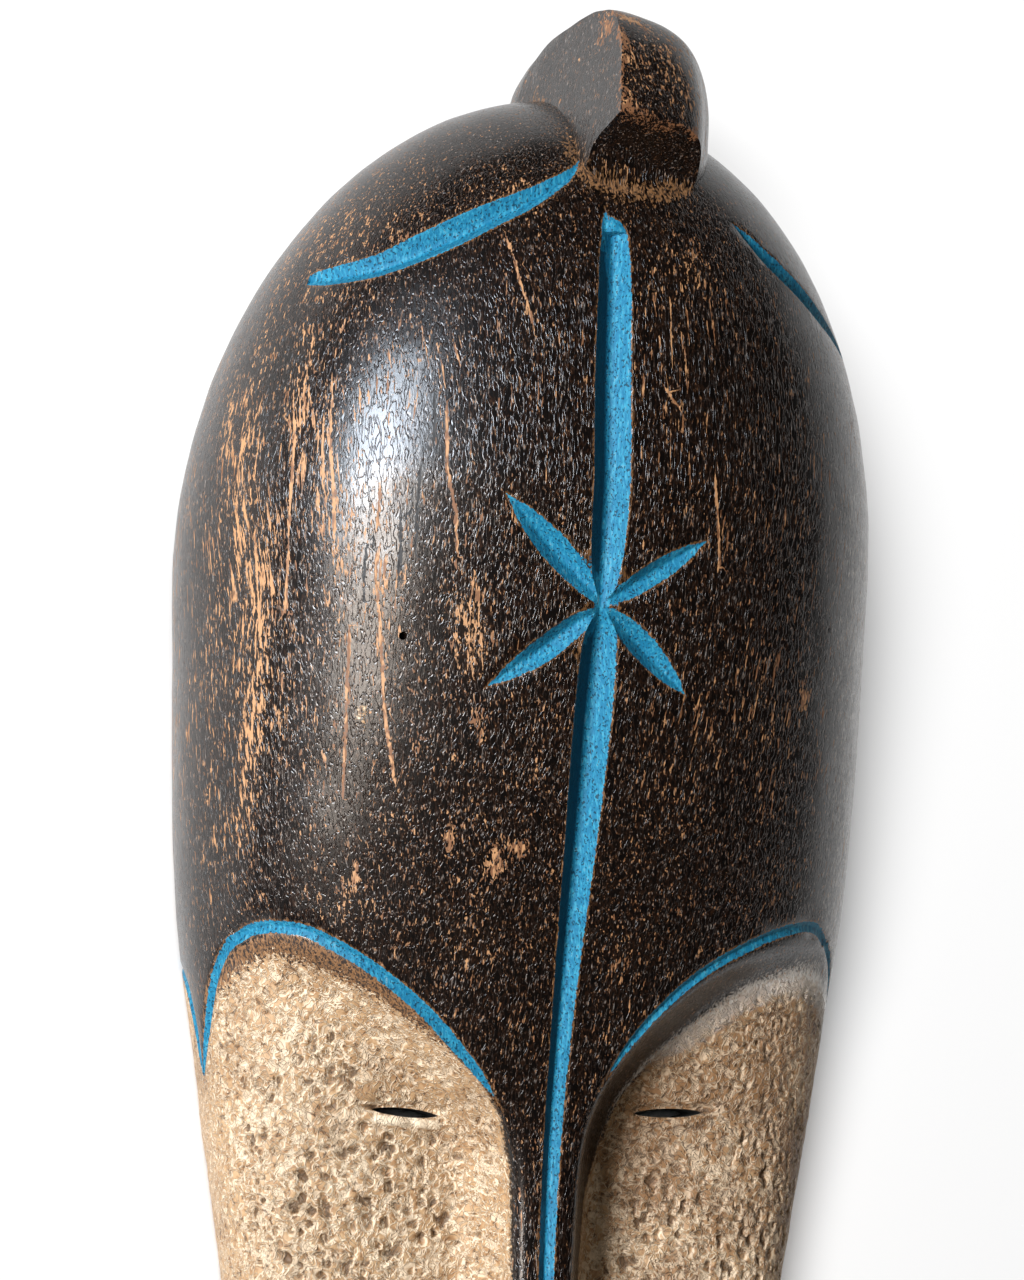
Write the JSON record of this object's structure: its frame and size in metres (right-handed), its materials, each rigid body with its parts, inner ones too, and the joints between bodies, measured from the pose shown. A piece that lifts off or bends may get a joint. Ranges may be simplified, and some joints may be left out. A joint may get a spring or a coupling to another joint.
{
  "type": "carved wall mask",
  "caption": "Long carved wooden mask with a tall rounded forehead, a topknot, painted grooves, a pale sunken face and a hollowed back.",
  "frame": {"origin": "middle of the flat back rim's plane, under the middle of the whole mask", "axes": "+Z out of the face, +Y towards the crown, +X to the right as the face is seen from the front"},
  "size_m": [0.18, 0.6194, 0.1065],
  "materials": {
    "stained_wood": "dark stained and waxed wood, worn tan on the high places, with blue painted grooves and a cream clay face"
  },
  "bodies": {
    "root": {"carved_mask": "stained_wood"}
  },
  "joints": []
}
